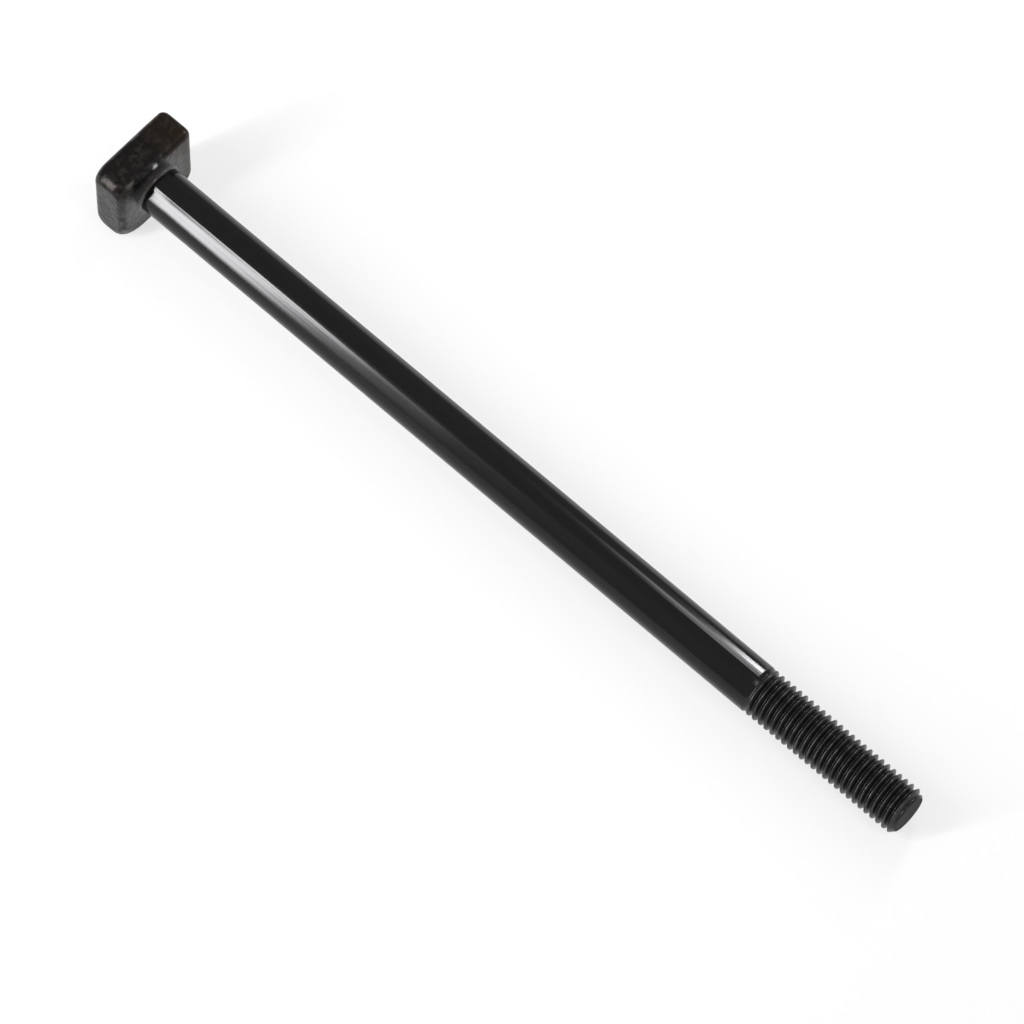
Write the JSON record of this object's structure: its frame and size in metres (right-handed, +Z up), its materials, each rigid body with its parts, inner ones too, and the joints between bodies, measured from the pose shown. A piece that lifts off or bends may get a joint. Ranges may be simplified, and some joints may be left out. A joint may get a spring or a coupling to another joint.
{
  "type": "t-slot bolt",
  "caption": "Long T-slot bolt in blackened steel: a forged square head with rounded edges, a plain round shank and a threaded end that takes a nut.",
  "frame": {"origin": "on the surface that the bolt lies on, under the middle of its box", "axes": "+X from the head towards the tip, +Z up. The bolt lies on the edge of its head and on its tip, so its own axis dips 1.5 degrees below +X towards the tip"},
  "size_m": [0.3178, 0.0318, 0.0319],
  "materials": {
    "black_steel": "satin black oxide, oiled, a little browner on the forged head"
  },
  "bodies": {
    "root": {"bolt": "black_steel"}
  },
  "joints": []
}
